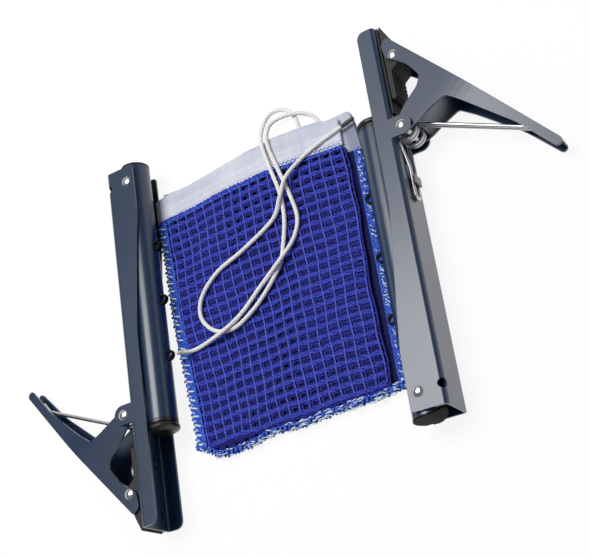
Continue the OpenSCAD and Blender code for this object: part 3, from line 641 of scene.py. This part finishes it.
def stitches(name, x, y, length, turn, radius, z):
    """Short yarns round the places (x, y), each of its own length, turn in degrees, radius and height.

    Along s, -1/2 to 1/2, a yarn is bowed up by cos(pi s) and as thick as the square root of 1 - 4s^2."""
    s = np.linspace(-0.5, 0.5, 9)
    each = np.broadcast_arrays(x, y, length, np.radians(turn), radius, z)
    x, y, length, turn, radius, z = (value[:, None] for value in each)
    path = xyz(x + length * s * np.cos(turn), y + length * s * np.sin(turn), z + 0.3 * np.cos(np.pi * s))
    size = (radius * np.sqrt(1.01 - 4 * s**2))[..., None]
    return skin(name, tube(on_floor(path), size, 6), white_yarn)


# White stitches: rungs down the left edge one pitch apart, dashes along the foot, flecks at the right
rungs, rung_top, rung_pitch, dashes, flecks = 27, -25.5, 4.7, 170, 90
i = np.arange(rungs)
rung_y = rung_top - rung_pitch * i + 0.4 * np.sin(5 * i)
rung_x = left_side((rung_y + 22) / -130) + 2.6 + 0.4 * np.sin(3 * i)
dash_x = np.interp(rng.uniform(0, 1, dashes), [0, 0.2, 0.3, 1], [28, 58, 76, 139.5])
dash_y = np.interp(dash_x, low_x, low_y) + rng.uniform(0.0, 4.4, dashes)
laces = [
    lace("selvedge_left", [(17.4, -24), (19, -48), (19.6, -77), (21.3, -96), (22.9, -116), (25.5, -150)],
         2.6, 1.7, [4.6, 3.8, 3.0, 2.2, 1.4], 0.5),
    lace("margin_left", [(21.6, -24), (23, -48), (23.7, -77), (25.4, -96), (27, -116), (29.6, -150)],
         2.3, 4.4, [4.6, 4.9, 4.75], 0.36),
    lace("selvedge_low", np.stack([low_x, np.array(low_y) + 2.6], axis=1),
         2.6, 2.9, [4.4, 3.6, 2.8, 2.0, 1.2], 0.4),
    lace("selvedge_right", [(138.4, -152), (139.2, -26)], 2.6, 2.8, [2.6, 2.0, 1.4], 0.46),
    lace("margin_right", [(137, -152), (137.8, -26)], 2.1, 3.4, [2.9, 2.5], 0.4),
    lace("selvedge_top", [(131, -22.2), (120, -21.2), (95, -19.3), (66, -19.4), (43, -21.4), (18, -22.8)],
         3.0, 1.8, [4.75]),
    stitches("rungs_left", rung_x, rung_y, 5.6, -20 + 8 * np.sin(2 * i), 0.56, 4.7),
    stitches("rungs_left_small", rung_x - 1.0, rung_y - 2.1, 3.4, -40 + 12 * np.sin(3 * i), 0.4, 4.5),
    stitches("dashes_low", dash_x, dash_y, rng.uniform(1.8, 4.4, dashes), rng.uniform(-18, 24, dashes),
             rng.uniform(0.2, 0.4, dashes), rng.uniform(3.2, 4.7, dashes)),
    stitches("flecks_right", 138.5 + rng.uniform(-1.1, 1.1, flecks), rng.uniform(-150, -27, flecks),
             rng.uniform(0.9, 2.4, flecks), rng.uniform(-75, -15, flecks),
             rng.uniform(0.18, 0.34, flecks), 3.3),
]

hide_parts("net_lower", "net_upper", "net_mesh")
net_pieces = [front_ribs, front_across, second_ribs, second_across, *laces]
for piece in (net_sheet, *net_pieces):
    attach(piece, "set")

# ---------------------------------------------------------------- tape
# White woven tape, doubled over the net's top edge and sewn along its lower edge.
# It is folded with the net: a stack behind, and two bands of it lie on top.

tape_finish, w = new_finish("white_tape")
u, v, tape_end_shade = cloth(w)
# Fine ribs and weft, coarse bars, the hem, and the upper half, which is a little darker; painted
# shade in loose creases and down the folded middle; all by places in millimetres
rib = w.sum("SINE", v * 4.2)
weft = w.sum("SINE", u * 5.0)
bars = w.sum("GREATER_THAN", w.sum("SINE", u * 1.1), 0.94)
cloud = noise(places(w), 60, 3)
crease_shade = w.sum("GREATER_THAN", w.sum("SINE", v * 1.1 + cloud * 3), 0.95)
hem = w.sum("LESS_THAN", w.sum("ABSOLUTE", v - 2.4), 0.22)
middle_fold_shade = w.sum("LESS_THAN", w.sum("ABSOLUTE", v - 9.6 + cloud), 0.2)
upper = w.sum("GREATER_THAN", v + cloud, 9.9)
shade = cloud * 0.8 + rib * 0.03 + weft * 0.02 + bars * cloud * 0.16 + crease_shade * cloud * 0.24
shade = shade + hem * 0.5 + middle_fold_shade * 0.3 + upper * 0.14 - 0.18
woven = between(shade, colour(222, 225, 234), colour(150, 158, 186))
# The cell's third value paints shade on the tape's right end, toward a grey blue
surface(w, {
    "Base Color": between(tape_end_shade, woven, colour(132, 138, 162)),
    "Roughness": 0.75, "Specular IOR Level": 0.3, "Normal": relief(rib * 0.5 + weft * 0.5, 0.3, 0.0001)})

tape_thick, loop_sides = 0.8, 36


def band(name, x, low, high, top):
    """A doubled tape: a flat loop carried along x, between its edges low and high, its top at that height.

    The loop is (|cos a|^0.35, |sin a|^0.6), each with its sign, and soft ripples lift its upper side."""
    a = 2 * np.pi * (np.arange(loop_sides) + 0.5) / loop_sides
    c, s = np.cos(a), np.sin(a)
    round_y = np.sign(c) * np.abs(c) ** 0.35
    round_z = np.sign(s) * np.abs(s) ** 0.6
    x, low, high, top = (np.asarray(q, float)[:, None] for q in (x, low, high, top))
    y = (low + high) / 2 + (high - low) / 2 * round_y
    ripple = 0.12 * np.sin(0.35 * x + 0.3 * y) + 0.08 * np.sin(0.9 * x - 0.25 * y)
    ripple = ripple + 0.07 * np.sin(1.1 * (y - low))
    z = top - tape_thick / 2 + tape_thick / 2 * round_z + ripple * (round_z > 0)
    made = skin(name, on_floor(xyz(x, y, z)), tape_finish)
    cells(made, xyz(x, y - low, 0.0))
    return made


x = np.linspace(16.2, 95, 90)
high = np.interp(x, [16, 30, 40, 50, 64, 75, 95], [-6.4, -6.5, -5.8, -4.7, -2.9, -1.6, -0.8])
drop = np.interp(x, [16, 18, 22, 95], [3.1, 3.2, 4.25, 4.5])
left_band = band("tape_band_left", x, under_tape(x), high, drop)
x = np.linspace(92, 132, 50)
high = np.interp(x, [92, 107, 120, 132], [-0.8, -1.6, -3.2, -6.4])
right_band = band("tape_band_right", x, under_tape(x), high, 0 * x + 5.2)

tape_layers, tape_columns, tape_rows, fold_length, stack_depth = 13, 24, 14, 117.2, 17
# The stack's left and right edge, the height of its lowest layer and the rise from layer to layer
tape_left, tape_right, tape_first, tape_rise = 22.2, 137.2, 0.15, 0.24
k = np.arange(tape_layers)[:, None]
across = np.where(k % 2 == 0, np.linspace(0, 1, tape_columns), np.linspace(1, 0, tape_columns))
v = np.linspace(0, 1, tape_rows)[:, None, None]
right = tape_right + 3.6 * np.sqrt(v) + 0.5 * np.sin(5 * k)
x = tape_left + (right - tape_left) * across
y_top = np.interp(x, [22, 34, 44, 54, 66, 75, 87, 95, 107, 120, 130, 136, 141],
                  [-4.1, -4.9, -4.6, -3.6, -2.3, -1.0, -0.3, -0.6, -1.2, -2.9, -3.4, -2.8, -4.0])
y_top = y_top - 0.5 * np.abs(np.sin(3 * k)) - 0.045 * (tape_layers - 1 - k)
y_low = np.interp(x, [120, 129, 131, 141], [-17.5, -17.5, -25.5, -27.0])
y = y_top + (y_low - y_top) * v
z = tape_first + tape_rise * k + 0 * x
# The layers close up over the cords, which pass under them here
bay_left, bay_right, bay_low, bay_first, bay_rise = 103.5, 128.5, -11.5, 2.65, 0.045
bay = (x > bay_left) & (x < bay_right) & (y > bay_low)
z = np.where(bay, bay_first + bay_rise * k, z)
grid = xyz(x, y, z).reshape(tape_rows, tape_layers * tape_columns, 3)
tape_stack = skin("tape_folds", on_floor(grid), tape_finish, closed=False)
tape_length = fold_length * tape_layers
# The tape's right end gets painted shade, where it bends away from the light
right_end_shade = 0.9 * np.clip((x - 131.5) / 3, 0, 1) * np.clip((-9 - y) / 6, 0, 1)
gone = np.linspace(0, tape_length, tape_layers * tape_columns)[None]
height = stack_depth * (1 - np.linspace(0, 1, tape_rows))[:, None]
cells(tape_stack, xyz(gone, height, right_end_shade.reshape(tape_rows, -1)))

# Sewing thread along the lower edges: a zigzag, one stitch every 2.4 mm
stitch_length, thread_r = 2.4, 0.2
x = np.linspace(19, 131, 420)
zig = np.abs((x / stitch_length) % 1 - 0.5) * 2
thread_z = np.interp(x, [19, 23, 91, 92.5, 131], [3.3, 4.35, 4.6, 5.3, 5.3])
path = np.stack([x, under_tape(x) + 0.5 + zig, thread_z], axis=1)
seam = skin("tape_stitches", tube(on_floor(path), thread_r, 6), edge_finish)

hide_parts("tape_left")
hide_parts("tape_right")
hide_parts("tape_back")
for piece in (left_band, right_band, tape_stack, seam):
    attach(piece, "set")

# ---------------------------------------------------------------- studio
# A white sweep, a soft box overhead, a weaker one behind it and an even pale room.
# Where it is looked at, the sweep is mostly glow, so it is white and keeps soft shadows.

sweep_finish, w = new_finish("white_sweep")
rays = w.add("ShaderNodeLightPath", out="Is Camera Ray")
paths = rays.socket.node.outputs
seen = w.sum("MAXIMUM", w.sum("MAXIMUM", rays, Wire(w.tree, paths["Is Glossy Ray"])),
             Wire(w.tree, paths["Is Transmission Ray"]))
matt = w.add("ShaderNodeBsdfDiffuse", None, {"Color": (0.86, 0.86, 0.86, 1)})
glow = w.add("ShaderNodeEmission", None, {"Color": (1, 1, 1, 1), "Strength": 1.03})
glow_share = 0.86
mixed = w.add("ShaderNodeMixShader", None, {0: seen * glow_share, 1: matt, 2: glow})
w.add("ShaderNodeOutputMaterial", None, {"Surface": mixed})
# A flat round floor, a quarter bend of one metre and a wall, turned round the middle; all in metres
floor_r, bend, wall_top, sweep_steps, sweep_sides = 5, 1, 2.4, 12, 64
turn = np.linspace(0, np.pi / 2, sweep_steps)
profile_r = np.r_[np.linspace(0.001, floor_r, sweep_steps), floor_r + bend * np.sin(turn[1:]), floor_r + bend]
profile_z = np.r_[np.zeros(sweep_steps), bend - bend * np.cos(turn[1:]), wall_top]
a = 2 * np.pi * np.arange(sweep_sides) / sweep_sides
sweep_grid = xyz(profile_r[:, None] * np.cos(a), profile_r[:, None] * np.sin(a), profile_z[:, None]) * 1000
sweep = skin("sweep", sweep_grid[:, ::-1], sweep_finish, capped=False)


def softbox(name, place, aim, width, depth, brightness):
    """A rectangular lamp whose face has that brightness: its power is brightness times pi times area."""
    lamp = bpy.data.lights.new(name, "AREA")
    lamp.shape, lamp.size, lamp.size_y = "RECTANGLE", width, depth
    lamp.energy = brightness * np.pi * width * depth
    placed(name, lamp, place, aim, (0, 1, 0))


softbox("overhead", (-0.25, 0.28, 1.2), (-0.25, 0.28, 0), 0.8, 0.6, 8.4)
softbox("behind", (-0.2, 0.97, 1.2), (-0.2, 0.97, 0), 0.9, 0.78, 1.25)
world = bpy.data.worlds.new("room")
world.use_nodes = True
room = world.node_tree.nodes["Background"].inputs
room["Color"].default_value = (1, 1, 1, 1)
room["Strength"].default_value = 0.24
bpy.context.scene.world = world
bpy.context.scene.view_settings.view_transform = "Standard"
